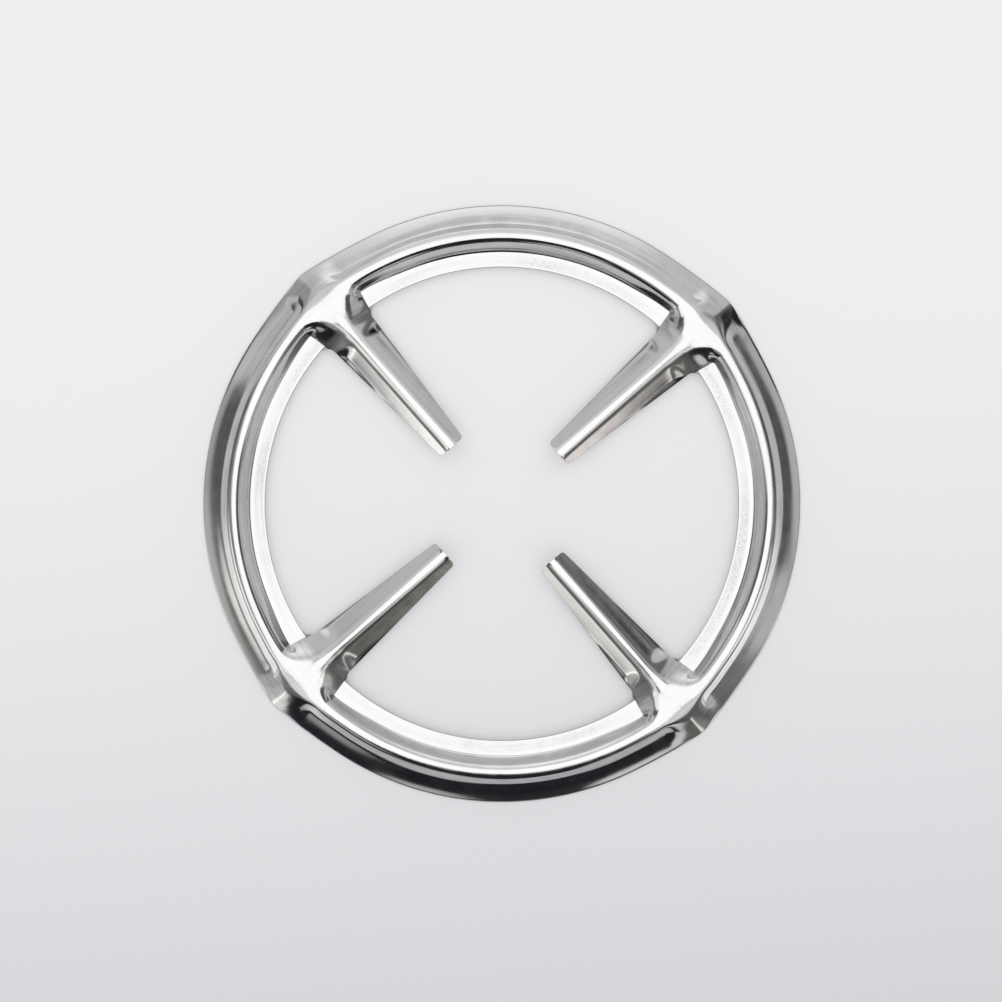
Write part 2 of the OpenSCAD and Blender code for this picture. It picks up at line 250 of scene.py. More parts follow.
# Soft oval cards round the studio, which the steel reflects: the azimuth and elevation of the
# middle, half width and half height in degrees, and colour. Azimuths go clockwise from the
# picture's top. A later card hangs in front of an earlier one.
CARD_EDGE = 1.7
CARDS = (
    (82.0, 12.0, 27.0, 17.0, (0.60, 0.60, 0.60)),       # right wall, low
    (80.0, 40.0, 30.0, 16.0, (0.12, 0.12, 0.125)),      # the dark above it
    (75.0, 62.0, 18.0, 18.0, (0.10, 0.10, 0.105)),      # and the dark ceiling
    (112.0, 26.0, 11.0, 24.0, (0.62, 0.61, 0.60)),      # below the right window
    (114.0, 57.0, 15.0, 18.0, (1.50, 1.47, 1.40)),      # right window
    (117.0, -4.0, 19.0, 9.0, (1.42, 1.38, 1.32)),       # and its light low down
    (136.0, 18.0, 12.0, 25.0, (0.14, 0.14, 0.135)),     # dark corner
    (139.0, 63.0, 14.0, 19.0, (0.95, 0.94, 0.92)),      # paler ceiling above it
    (183.0, 50.0, 40.0, 38.0, (0.015, 0.015, 0.02)),    # black ceiling at the bottom
    (155.0, 15.0, 9.5, 9.0, (0.80, 0.80, 0.80)),        # pale patch in the bottom wall
    (195.0, 13.0, 12.0, 9.0, (0.54, 0.54, 0.53)),       # second pale patch
    (214.0, 13.0, 11.0, 20.0, (0.015, 0.015, 0.02)),    # and the black beside it
    (215.0, 50.0, 13.0, 20.0, (0.42, 0.42, 0.41)),      # dim ceiling beside the left window
    (230.0, 66.0, 13.0, 19.0, (1.05, 1.04, 1.02)),      # and its paler end
    (258.0, 11.0, 25.0, 17.0, (0.57, 0.57, 0.56)),      # left wall, low
    (250.0, 50.0, 20.0, 20.0, (1.36, 1.32, 1.24)),      # left window
    (250.0, -4.0, 20.0, 9.0, (1.42, 1.38, 1.30)),       # and its light low down
    (285.0, 10.0, 16.0, 17.0, (0.48, 0.48, 0.485)),     # beside it
    (285.0, 36.0, 20.0, 17.0, (0.13, 0.13, 0.135)),     # the dark above it
    (288.0, 62.0, 16.0, 18.0, (0.17, 0.17, 0.175)),     # and the dark ceiling
    (301.0, 20.0, 8.0, 40.0, (0.70, 0.70, 0.70)),       # pale strip
    (309.0, 13.0, 6.0, 15.0, (0.44, 0.44, 0.44)),       # darker joint
    (53.0, 26.0, 7.0, 40.0, (0.18, 0.18, 0.185)),       # dark joint of two walls
    (61.0, 4.0, 10.0, 11.0, (0.006, 0.006, 0.008)),     # black foot of that joint
    (299.0, 4.0, 9.0, 9.0, (0.07, 0.07, 0.075)),        # black foot of the pale strip
    (159.0, 2.0, 11.0, 8.0, (0.015, 0.015, 0.02)),      # black foot of the bottom wall
    (133.0, 4.0, 3.4, 12.0, (0.26, 0.26, 0.25)),        # low down in the corner: dim,
    (137.3, 4.0, 3.0, 20.0, (1.20, 1.12, 1.08)),        # a narrow lit edge,
    (143.5, 4.0, 5.0, 20.0, (0.16, 0.16, 0.135)),       # and olive shade
    (224.5, 4.0, 5.0, 15.0, (1.05, 1.03, 0.99)),        # low window: pale,
    (230.5, 4.0, 3.5, 17.0, (1.62, 1.60, 1.54)),        # bright,
    (236.0, 4.0, 4.4, 15.0, (0.66, 0.66, 0.66)),        # and grey
)


def mix(a, b, t):
    return a + (b - a) * t


def ease(t):
    t = min(1.0, max(0.0, t))
    return t * t * (3.0 - 2.0 * t)


def along(angle):
    return Vector((math.cos(math.radians(angle)), math.sin(math.radians(angle))))


def angle_of(v):
    return math.degrees(math.atan2(v.y, v.x))


def raised(p, z):
    return Vector((p.x, p.y, z))


def reach(start, heading, centre, radius):
    """From start along heading to the far side of a circle."""
    offset = start - centre
    b = offset.dot(heading)
    return start + heading * (math.sqrt(b * b - offset.dot(offset) + radius * radius) - b)


def ridge(angle, span):
    """1 on the arm's axis, running out to 0 at the span."""
    blunt = math.hypot(angle, RIDGE_BLUNT) - RIDGE_BLUNT
    return max(0.0, 1.0 - blunt / span) ** 2


# Plan of one arm and its pad, with the arm along +X
TAPER = math.degrees(math.atan2(ROOT_HALF - TIP_HALF, OPENING_R - ROOT_FILLET - TIP_R))
CUT_NORMAL = Vector((-math.sin(math.radians(TAPER)), math.cos(math.radians(TAPER))))
CUT_OFF = CUT_NORMAL.dot(Vector((TIP_R, TIP_HALF))) + ROOT_FILLET
CUT_ALONG = math.sqrt((OPENING_R - ROOT_FILLET) ** 2 - CUT_OFF ** 2)
CUT_CENTRE = along(TAPER) * CUT_ALONG + CUT_NORMAL * CUT_OFF
CUT_START = angle_of(CUT_CENTRE)
CUT_END = TAPER - 90.0

EDGE_SIDE = ARM_TOP_HALF + PAD_EDGE_R
EDGE_CENTRE = Vector((math.sqrt((CREST_IN_R - PAD_EDGE_R) ** 2 - EDGE_SIDE ** 2), EDGE_SIDE))

PAD_ANGLE = math.degrees(math.asin(PAD_HALF / FOOT_R))
PAD_CORNER = along(PAD_ANGLE) * FOOT_R
FOOT_GAP = ROOT_FILLET - FOOT_INSET
TO_CORNER = PAD_CORNER - CUT_CENTRE
FOOT_DIR = angle_of(TO_CORNER) - math.degrees(math.acos(FOOT_GAP / TO_CORNER.length))
CROSS_DIR = FOOT_DIR + math.degrees(math.acos(FOOT_GAP / ROOT_FILLET))
TURN_DIR = CROSS_DIR * TURN_SHARE
CORNER_HALF_TURN = math.radians((PAD_ANGLE - FOOT_DIR) / 2.0)
CORNER_DEPTH = PAD_CORNER_R / math.cos(CORNER_HALF_TURN)
CORNER_IN = PAD_CORNER - along((PAD_ANGLE + FOOT_DIR) / 2.0) * CORNER_DEPTH

WALL_SLOPE = math.radians(ARM_SLOPE)

SWING_FROM = math.degrees(math.asin(GROOVE_GAP_HALF / VALLEY_R))
SWING_TO = math.degrees(math.asin(NOSE_HALF / (RIM_R + CORNER_OUT)))


def cut_half(x):
    """Half the arm's width at its cut edges."""
    return TIP_HALF + (x - TIP_R) * math.tan(math.radians(TAPER))


def root_cut(angle):
    return CUT_CENTRE + along(angle) * ROOT_FILLET


def crest_in(angle):
    """The inner edge of the bead's top, with the concave edge of the pad."""
    if angle > angle_of(EDGE_CENTRE):
        return along(angle) * CREST_IN_R
    return reach(Vector((0.0, 0.0)), along(angle), EDGE_CENTRE, PAD_EDGE_R)


# A station is (crest line point, top corner, foot corner, cut edge, foot bend, top bend), and
# outside the crest line also the height of the skirt's crown
def bead_station(angle, cut):
    clear = ease((angle - PAD_ANGLE) / FOOT_FADE)
    top = crest_in(angle) + along(angle) * CREST_LEAN * clear
    return (
        raised(along(angle) * BEAD_R, HEIGHT),
        raised(top, HEIGHT - PAD_DROP * (1.0 - clear)),
        raised(along(angle) * (FOOT_R - FOOT_LEAN * clear), FLANGE_Z),
        raised(cut, FLANGE_Z),
        mix(PAD_CORNER_R, FOOT_BEND, clear),
        mix(PAD_BEND, CREST_BEND, ease((angle - PAD_ANGLE) / PAD_FADE)),
    )


def fan_station(t, angle):
    """Round the pad's corner on the flange."""
    heading = along(mix(PAD_ANGLE, FOOT_DIR, t))
    foot = CORNER_IN + heading * PAD_CORNER_R
    return (
        raised(along(angle) * BEAD_R, HEIGHT),
        raised(reach(foot, heading, EDGE_CENTRE, PAD_EDGE_R), HEIGHT - PAD_DROP),
        raised(foot, FLANGE_Z),
        raised(root_cut(TURN_DIR * t), FLANGE_Z),
        PAD_CORNER_R,
        PAD_BEND,
    )


def flank_station(t, angle):
    """Along the pad's straight foot, up to where the root cut crosses it."""
    heading = along(FOOT_DIR)
    foot = mix(CORNER_IN + heading * PAD_CORNER_R, root_cut(CROSS_DIR), t * FOOT_SHARE)
    return (
        raised(along(angle) * BEAD_R, HEIGHT),
        raised(reach(foot, heading, EDGE_CENTRE, PAD_EDGE_R), HEIGHT - PAD_DROP),
        raised(foot, FLANGE_Z),
        raised(root_cut(mix(TURN_DIR, CROSS_DIR, t)), FLANGE_Z),
        mix(PAD_CORNER_R, ROOT_BEND, t),
        PAD_BEND,
    )


def arm_station(x, cut=None):
    """Square across the arm. The crease runs out where the cut edge reaches it."""
    cut = cut or cut_half(x)
    knee = min(CREASE_HALF, cut - KNEE_MARGIN)
    opened = ease((cut - CREASE_HALF - OPEN_FROM) / OPEN_RUN)
    knee_z = HEIGHT - (knee - ARM_TOP_HALF) * math.tan(WALL_SLOPE)
    strip = math.tan(mix(WALL_SLOPE, math.radians(STRIP_SLOPE), opened))
    return (
        Vector((x, 0.0, HEIGHT)),
        Vector((x, ARM_TOP_HALF, HEIGHT)),
        Vector((x, knee, knee_z)),
        Vector((x, cut, knee_z - (cut - knee) * strip)),
        ROOT_BEND,
        ARM_BEND,
    )


def root_station(t):
    """Round the root cut, where the cut trims the pad's flank above its foot."""
    cut = root_cut(mix(CROSS_DIR, CUT_END, t))
    top = raised(reach(cut, along(mix(FOOT_DIR, -90.0, t)), EDGE_CENTRE, PAD_EDGE_R), HEIGHT)
    past = (cut - CUT_CENTRE).dot(along(FOOT_DIR)) - FOOT_GAP
    edge = raised(cut, FLANGE_Z + BEAD_RISE * past / (past + (top.xy - cut).length))
    return (
        Vector((mix(BEAD_R, CUT_CENTRE.x, mix(SPINE_FROM, SPINE_TO, t)), 0.0, HEIGHT)),
        top,
        mix(edge, top, EDGE_LIFT),
        edge,
        ROOT_BEND,
        mix(PAD_BEND, ARM_BEND, ROOT_SHARE * t),
    )


def blend_station(t):
    """Between the root cut and the arm: the flank steepens and the crease opens."""
    x = CUT_CENTRE.x - ROOT_RUN * t
    root, arm = root_station(1.0), arm_station(x)
    turned = ease(t)
    return (
        arm[0],
        arm[1],
        Vector((x, mix(root[2].y, arm[2].y, turned), mix(root[2].z, arm[2].z, turned))),
        Vector((x, arm[3].y, mix(root[3].z, arm[3].z, turned))),
        ROOT_BEND,
        mix(PAD_BEND, ARM_BEND, mix(ROOT_SHARE, 1.0, turned)),
    )


def tip_station(turn):
    """Round the tip's corner, turn going from 0 to 90 degrees."""
    x = TIP_R + TIP_CORNER * (1.0 - math.sin(math.radians(turn)))
    return arm_station(x, cut_half(x) - TIP_CORNER * (1.0 - math.cos(math.radians(turn))))


def outer_station(angle):
    """From the crest line out to the rim. Towards a nose the groove moves out and fills up."""
    nose = ridge(angle, NOSE_SPAN)
    rim = RIM_R + CORNER_OUT * ridge(angle, CORNER_SPAN)
    clear = ease((angle - SWING_FROM) / SWING_FROM)
    swing = min(1.0, max(0.0, (SWING_FROM - angle) / (SWING_FROM - SWING_TO)))
    top = CREST_OUT_R + NOSE_OUT * nose - SHOULDER_LEAN * clear
    groove = mix(VALLEY_R, rim, GROOVE_STOP * swing * swing) - GROOVE_LEAN * clear
    groove_z = min(VALLEY_Z, mix(RIM_Z, VALLEY_Z, (rim - groove) / SKIRT_W))
    filled_z = mix(HEIGHT, RIM_Z, (groove - top) / (rim - top))
    return (
        raised(along(angle) * BEAD_R, HEIGHT),
        raised(along(angle) * top, HEIGHT - NOSE_DROP * nose),
        raised(along(angle) * groove, mix(groove_z, filled_z, ease(swing / GROOVE_RUN_OUT))),
        raised(along(angle) * rim, RIM_Z),
        mix(VALLEY_BEND, HOLLOW_BEND, ease(swing)),
        mix(OUTER_BEND, NOSE_BEND, nose),
        SKIRT_CROWN * (1.0 - ease(swing)),
    )


def steps(count, first=0):
    return [i / count for i in range(first, count + 1)]


def bay_angles():
    return [mix(HALF_BAY, CUT_START, t) for t in steps(BAY_COLUMNS)]


def shoulder_angles():
    return [mix(CUT_START, PAD_ANGLE, t) for t in steps(SHOULDER_COLUMNS, 1)[:-1]]


def pad_angles():
    return [PAD_ANGLE * (1.0 - t) ** PAD_CROWDING for t in steps(PAD_COLUMNS)]


def inner_stations():
    """From the middle of the bay past the pad's corner and the root cut to the arm's tip."""
    pad = pad_angles()
    stations = [bead_station(a, along(a) * OPENING_R) for a in bay_angles()]
    for angle, t in zip(shoulder_angles(), steps(SHOULDER_COLUMNS, 1)):
        stations.append(bead_station(angle, root_cut(CUT_START * (1.0 - t))))
    stations += [fan_station(t, pad[i]) for i, t in enumerate(steps(FAN_COLUMNS))]
    stations += [flank_station(t, pad[FAN_COLUMNS + 1 + i])
                 for i, t in enumerate(steps(FLANK_COLUMNS, 1))]
    stations += [root_station(t) for t in steps(ROOT_COLUMNS, 1)]
    stations += [blend_station(t) for t in steps(BLEND_COLUMNS, 1)]
    arm_from = CUT_CENTRE.x - ROOT_RUN
    arm_to = TIP_R + TIP_CORNER
    stations += [arm_station(mix(arm_from, arm_to, t)) for t in steps(ARM_COLUMNS, 1)]
    stations += [tip_station(90.0 * t) for t in steps(TIP_COLUMNS, 1)]
    return stations


def outer_stations():
    return [outer_station(a) for a in bay_angles() + shoulder_angles() + pad_angles()]


def setback(radius, turn, room):
    """How far from its corner a bend starts, within the room that it has."""
    return min(max(LEAST_BEND, radius * math.tan(abs(turn) / 2.0)), room)


def bend_point(a, corner, b, weight, t):
    """A point on the round bend from a to b under its corner."""
    wa, wc, wb = (1.0 - t) ** 2, 2.0 * weight * t * (1.0 - t), t * t
    return (a * wa + corner * wc + b * wb) / (wa + wc + wb)


def slope_of(v):
    return math.atan2(v.z, v.xy.length)


def towards(a, b, distance):
    return a + (b - a).normalized() * distance


def crowned(start, end, crown, t):
    """A point from start to end, raised by the crown halfway."""
    return mix(start, end, t) + Vector((0.0, 0.0, 4.0 * crown * t * (1.0 - t)))


def section(station):
    """The points of one section, from the crest line to the cut edge."""
    crest, top, foot, edge, foot_bend, top_bend = station[:6]
    crown = station[6] if len(station) > 6 else 0.0
    wall, strip = top - foot, foot - edge
    steep, low = slope_of(wall), slope_of(strip)
    top_room = min((crest - top).length * TOP_ROOM, wall.length * WALL_ROOM)
    foot_room = min(strip.length * STRIP_ROOM, wall.length * WALL_ROOM)
    top_cut = setback(top_bend, steep, top_room)
    foot_cut = setback(foot_bend, steep - low, foot_room)
    top_a = towards(top, crest, top_cut)
    top_b = towards(top, foot, top_cut)
    foot_a = towards(foot, top, foot_cut)
    foot_b = towards(foot, edge, foot_cut)
    crest_weight = math.cos(steep / 2.0)
    foot_weight = math.cos((steep - low) / 2.0)
    points = [mix(crest, top_a, t) for t in steps(FLAT_ROWS)]
    points += [bend_point(top_a, top, top_b, crest_weight, t) for t in steps(CREST_ROWS, 1)]
    points += [mix(top_b, foot_a, t) for t in steps(WALL_ROWS, 1)]
    points += [bend_point(foot_a, foot, foot_b, foot_weight, t) for t in steps(FOOT_ROWS, 1)]
    points += [crowned(foot_b, edge, crown, t) for t in steps(STRIP_ROWS, 1)]
    return points


def press_blank(name, stations):
    """Rule a flat blank and press it to the given sections."""
    columns = len(stations) - 1
    bpy.ops.object.select_all(action="DESELECT")
    bpy.ops.mesh.primitive_grid_add(x_subdivisions=columns, y_subdivisions=ROWS, size=1.0)
    blank = bpy.context.object
    blank.name = name
    formed = [section(station) for station in stations]
    for vertex in blank.data.vertices:
        column = round((vertex.co.x + 0.5) * columns)
        row = round((vertex.co.y + 0.5) * ROWS)
        vertex.co = formed[column][row] * MM
    return blank


def select_only(*pieces):
    bpy.ops.object.select_all(action="DESELECT")
    for piece in pieces:
        piece.select_set(True)
    bpy.context.view_layer.objects.active = pieces[0]


def join(pieces):
    select_only(*pieces)
    bpy.ops.object.join()
    return bpy.context.object


def apply_modifier(piece, kind, **settings):
    select_only(piece)
    modifier = piece.modifiers.new(kind.title(), kind)
    for key, value in settings.items():
        setattr(modifier, key, value)
    bpy.ops.object.modifier_apply(modifier=modifier.name)


def weld(piece, distance):
    """Merge what meets and turn every face to the upper side."""
    select_only(piece)
    bpy.ops.object.mode_set(mode="EDIT")
    bpy.ops.mesh.select_all(action="SELECT")
    bpy.ops.mesh.remove_doubles(threshold=distance)
    bpy.ops.mesh.normals_make_consistent(inside=False)
    bpy.ops.object.mode_set(mode="OBJECT")
    if sum(face.normal.z for face in piece.data.polygons) < 0.0:
        bpy.ops.object.mode_set(mode="EDIT")
        bpy.ops.mesh.select_all(action="SELECT")
        bpy.ops.mesh.flip_normals()
        bpy.ops.object.mode_set(mode="OBJECT")


def ease_creases(piece):
    """Ease the pressed creases a little, and leave the cut edges where they are."""
    shell = bmesh.new()
    shell.from_mesh(piece.data)
    inside = [not vertex.is_boundary for vertex in shell.verts]
    shell.free()
    select_only(piece)
    bpy.ops.object.mode_set(mode="EDIT")
    bpy.ops.mesh.select_all(action="DESELECT")
    bpy.ops.object.mode_set(mode="OBJECT")
    for vertex, free in zip(piece.data.vertices, inside):
        vertex.select = free
    bpy.ops.object.mode_set(mode="EDIT")
    bpy.ops.mesh.select_mode(type="VERT")
    bpy.ops.mesh.vertices_smooth(factor=EASE_STRENGTH, repeat=EASE_TIMES)
    bpy.ops.object.mode_set(mode="OBJECT")


def make_stand():
    """Press one arm's share of the ring, copy it round, and give the sheet its thickness."""
    share = join([press_blank("inner_half", inner_stations()),
                  press_blank("outer_half", outer_stations())])
    weld(share, HALF_SEAM * MM)
    apply_modifier(share, "MIRROR", use_axis=(False, True, False),
                   merge_threshold=HALF_SEAM * MM)
    shares = []
    for k in range(ARM_COUNT):
        select_only(share)
        bpy.ops.object.duplicate()
        copy = bpy.context.object
        turn = math.radians((2 * k + 1) * HALF_BAY)
        copy.data.transform(Matrix.Rotation(turn, 4, "Z"))
        shares.append(copy)
    bpy.data.objects.remove(share, do_unlink=True)
    stand = join(shares)
    stand.name = "pressed_stand"
    weld(stand, RING_SEAM * MM)
    ease_creases(stand)
    apply_modifier(stand, "SOLIDIFY", thickness=SHEET * MM, offset=-1.0, use_even_offset=True)
    apply_modifier(stand, "BEVEL", width=BROKEN_EDGE * MM, segments=BROKEN_EDGE_STEPS,
                   limit_method="ANGLE", angle_limit=math.radians(EDGE_ANGLE))
    select_only(stand)
    bpy.ops.object.shade_smooth_by_angle(angle=math.radians(SMOOTH_ANGLE))
    return stand


class Shader:
    """Short calls for making and joining nodes."""

    def __init__(self, tree):
        self.tree = tree
        tree.nodes.clear()

    def node(self, kind, **settings):
        made = self.tree.nodes.new(kind)
        for key, value in settings.items():
            setattr(made, key, value)
        return made

    def feed(self, socket, value):
        if isinstance(value, bpy.types.NodeSocket):
            self.tree.links.new(value, socket)
        else:
            socket.default_value = value

    def feed_all(self, made, values):
        for socket, value in zip(made.inputs, values):
            self.feed(socket, value)
        return made

    def maths(self, operation, *values, clamp=False):
        made = self.node("ShaderNodeMath", operation=operation, use_clamp=clamp)
        return self.feed_all(made, values).outputs[0]

    def product(self, first, *others):
        for other in others:
            first = self.maths("MULTIPLY", first, other)
        return first

    def total(self, first, *others):
        for other in others:
            first = self.maths("ADD", first, other)
        return first

    def vector(self, operation, *values):
        made = self.node("ShaderNodeVectorMath", operation=operation)
        self.feed_all(made, values)
        return made.outputs["Value" if operation == "DOT_PRODUCT" else "Vector"]

    def split(self, vector):
        return self.feed_all(self.node("ShaderNodeSeparateXYZ"), [vector]).outputs

    def combine(self, *values):
        return self.feed_all(self.node("ShaderNodeCombineXYZ"), values).outputs[0]

    def ramp(self, value, low, high, start=0.0, end=1.0):
        """Goes smoothly from start to end while value goes from low to high."""
        made = self.node("ShaderNodeMapRange", interpolation_type="SMOOTHSTEP")
        return self.feed_all(made, (value, low, high, start, end)).outputs[0]

    def ramp_mm(self, value, base, band, start=0.0, end=1.0):
        """A ramp over a band that is given in millimetres from a base."""
        return self.ramp(value, (base + band[0]) * MM, (base + band[1]) * MM, start, end)

    def blend(self, factor, a, b):
        made = self.node("ShaderNodeMix", data_type="RGBA")
        self.feed(made.inputs["Factor"], factor)
        self.feed(made.inputs[6], a)
        self.feed(made.inputs[7], b)
        return made.outputs[2]

    def noise(self, vector, scale, detail=2.0, roughness=0.5):
        made = self.node("ShaderNodeTexNoise")
        self.feed(made.inputs["Vector"], vector)
        self.feed(made.inputs["Scale"], scale)
        self.feed(made.inputs["Detail"], detail)
        self.feed(made.inputs["Roughness"], roughness)
        return made.outputs["Fac"]


def new_material(name):
    material = bpy.data.materials.new(name)
    material.use_nodes = True
    return material, Shader(material.node_tree)


def lie_of_marks(s, x, y, radius, angle, on_arm):
    """Coordinates that draw a pattern out round the ring, and on an arm along it."""
    ring_line = s.combine(radius,
                          s.product(s.maths("COSINE", angle), RING_STREAK_RUN),
                          s.product(s.maths("SINE", angle), RING_STREAK_RUN))
    off_one = s.maths("ABSOLUTE", s.maths("SUBTRACT", x, y))
    off_other = s.maths("ABSOLUTE", s.total(x, y))
    off_axis = s.product(math.sqrt(0.5), s.maths("MINIMUM", off_one, off_other))
    arm_line = s.combine(off_axis, s.product(radius, ARM_STREAK_RUN))
    line = s.node("ShaderNodeMix", data_type="VECTOR")
    s.feed(line.inputs["Factor"], on_arm)
    s.feed(line.inputs[4], ring_line)
    s.feed(line.inputs[5], arm_line)
    return line.outputs[1]


def scuff_cover(s, place, radius, angle, on_flange):
    """Patches of fine hatched scuffs along the middle of the flange."""
    patches = s.ramp(s.noise(place, scale=16.0, detail=1.0), 0.48, 0.62)
    hatch_line = s.combine(s.product(angle, OPENING_R * MM), s.product(radius, HATCH_SLANT))
    hatch = s.ramp(s.noise(hatch_line, scale=3000.0, detail=2.0, roughness=0.7), 0.30, 0.75)
    inner_side = s.ramp_mm(radius, OPENING_R, SCUFF_INNER)
    outer_side = s.ramp_mm(radius, OPENING_R, SCUFF_OUTER)
    return s.product(on_flange, inner_side, outer_side, patches, hatch, SCUFF_SHARE)


def relief(s, place, streaks, hairs, on_arm):
    """The shallow streaks, hairs and waves of a pressed and polished sheet."""
    wave = s.noise(place, scale=90.0)
    peel = s.noise(place, scale=900.0)
    depth = s.ramp(on_arm, 0.0, 1.0, STREAK_DEPTH * MM, ARM_STREAK_DEPTH * MM)
    height = s.total(s.product(streaks, depth), s.product(hairs, HAIR_DEPTH * MM),
                     s.product(wave, WAVE_DEPTH * MM), s.product(peel, PEEL_DEPTH * MM))
    bump = s.node("ShaderNodeBump")
    s.feed(bump.inputs["Strength"], 1.0)
    s.feed(bump.inputs["Distance"], 1.0)
    s.feed(bump.inputs["Height"], height)
    return bump.outputs["Normal"]


def polished_steel():
    """Bright pressed steel, with marks that run round the ring and along the arms."""
    material, s = new_material("polished_steel")
    place = s.node("ShaderNodeTexCoord").outputs["Object"]
    x, y, z = s.split(place)
    radius = s.maths("SQRT", s.total(s.product(x, x), s.product(y, y)))
    angle = s.maths("ARCTAN2", y, x)
    on_arm = s.ramp_mm(radius, OPENING_R, (-ARM_MARKS_FADE, 0.0), 1.0, 0.0)
    on_flange = s.ramp_mm(z, FLANGE_Z, FLANGE_BAND, 1.0, 0.0)
    on_crest = s.ramp_mm(z, HEIGHT, CREST_BAND)
    line = lie_of_marks(s, x, y, radius, angle, on_arm)
    streaks = s.noise(line, scale=700.0, detail=3.0, roughness=0.6)
    hairs = s.noise(line, scale=4000.0, detail=2.0, roughness=0.6)
    cloud = s.noise(place, scale=180.0, detail=4.0, roughness=0.6)

    tone = s.ramp(s.total(s.product(cloud, 0.35), s.product(streaks, 0.65)), 0.36, 0.64)
    streaked = s.blend(tone, DULL_STREAK, BRIGHT_STREAK)
    land = s.maths("MAXIMUM", on_flange, on_crest)
    clean = s.product(s.maths("MAXIMUM", land, s.product(on_arm, ARM_CLEAN_SHARE)), CLEAN_SHARE)
    scuffs = scuff_cover(s, place, radius, angle, on_flange)
    # Painted shade: the cut faces at the rim and round the opening, dull sheared steel, are
    # darkened nearly to black
    rim_cut_and_shade = s.ramp_mm(z, RIM_Z, RIM_CUT_AND_SHADE_BAND, 1.0, 0.0)
    opening_cut_and_shade = s.product(on_flange, s.ramp_mm(radius, OPENING_R, OPENING_CUT_AND_SHADE_BAND, 1.0, 0.0))
    cut = s.product(s.maths("MAXIMUM", rim_cut_and_shade, opening_cut_and_shade), CUT_SHADE)
    colour = s.blend(clean, streaked, CLEAN_STEEL)
    colour = s.blend(scuffs, colour, SCUFFED_STEEL)
    colour = s.blend(cut, colour, CUT_EDGE_AND_PAINTED_SHADE)

    dull = s.total(s.product(cloud, 0.7), s.product(hairs, 0.3))
    rough = s.ramp(dull, 0.3, 0.75, BRIGHT_ROUGHNESS, DULL_ROUGHNESS)
    steel = s.node("ShaderNodeBsdfPrincipled")
    s.feed(steel.inputs["Metallic"], 1.0)
    s.feed(steel.inputs["Base Color"], colour)
    s.feed(steel.inputs["Roughness"], s.maths("MULTIPLY_ADD", scuffs, SCUFF_ROUGHNESS, rough))
    s.feed(steel.inputs["Normal"], relief(s, place, streaks, hairs, on_arm))
    s.feed(s.node("ShaderNodeOutputMaterial").inputs["Surface"], steel.outputs["BSDF"])
    return material


def window_glow(s, place, azimuth):
    """Soft patch of window light on the paper beyond the rim, which the bead's outer wall shows."""
    heading = math.radians(90.0 - azimuth + CAMERA_TURN)
    shift = -GLOW_R / GLOW_HALF
    local = s.vector("MULTIPLY_ADD", place, (1.0 / (GLOW_HALF * MM), 1.0 / (GLOW_HALF * MM), 0.0),
                     (math.cos(heading) * shift, math.sin(heading) * shift, 0.0))
    return s.maths("MULTIPLY_ADD", s.vector("DOT_PRODUCT", local, local), -1.0, 1.0, clamp=True)


def pale_paper():
    """Matt, finely grained paper with painted shade, and its lift for the camera and for the steel.
    """
    material, s = new_material("pale_paper")
    place = s.node("ShaderNodeTexCoord").outputs["Object"]
    x, y, _ = s.split(place)
    # Painted shade: the paper darkens from the picture's top towards its bottom
    shade_fall = s.maths("MULTIPLY_ADD", x, PAPER_SHADE_SLANT, y)
    tone = s.blend(s.ramp_mm(shade_fall, 0.0, PAPER_SHADE_FALL), PAPER_SHADED_END, PAPER_LIT_END)
    grain = s.ramp(s.noise(place, scale=1600.0, detail=2.0, roughness=0.7), 0.3, 0.7)
    paper = s.node("ShaderNodeBsdfPrincipled")
    s.feed(paper.inputs["Roughness"], 1.0)
    s.feed(paper.inputs["Specular IOR Level"], 0.0)
    s.feed(paper.inputs["Base Color"], s.blend(grain, tone, s.blend(PAPER_GRAIN, tone, WHITE)))

    path = s.node("ShaderNodeLightPath").outputs
    shown = s.maths("MULTIPLY_ADD", path["Is Glossy Ray"], LIFT_IN_STEEL, path["Is Camera Ray"])
    glow = s.total(*[window_glow(s, place, azimuth) for azimuth in GLOW_AZIMUTHS])
    mirrored = s.product(glow, GLOW_LIGHT, path["Is Glossy Ray"])
    lift = s.node("ShaderNodeEmission")
    s.feed(lift.inputs["Strength"], s.maths("MULTIPLY_ADD", shown, PAPER_LIFT, mirrored))
    lit = s.node("ShaderNodeAddShader")
    s.feed(lit.inputs[0], paper.outputs["BSDF"])
    s.feed(lit.inputs[1], lift.outputs[0])
    s.feed(s.node("ShaderNodeOutputMaterial").inputs["Surface"], lit.outputs[0])
    return material


def paper_floor():
    bpy.ops.object.select_all(action="DESELECT")
    bpy.ops.mesh.primitive_plane_add(size=FLOOR_SIZE * MM, location=(0.0, 0.0, 0.0))
    floor = bpy.context.object
    floor.name = "floor"
    floor.data.materials.append(pale_paper())


def hang_card(s, sky, place, azimuth, elevation, half_width, half_height, colour):
    """Blend a soft-edged oval card into the sky."""
    local = s.vector("MULTIPLY_ADD", place, (1.0 / half_width, 1.0 / half_height, 0.0),
                     (-azimuth / half_width, -elevation / half_height, 0.0))
    squared = s.vector("DOT_PRODUCT", local, local)
    cover = s.maths("MULTIPLY_ADD", squared, -CARD_EDGE, CARD_EDGE, clamp=True)
    return s.blend(cover, sky, (*colour, 1.0))


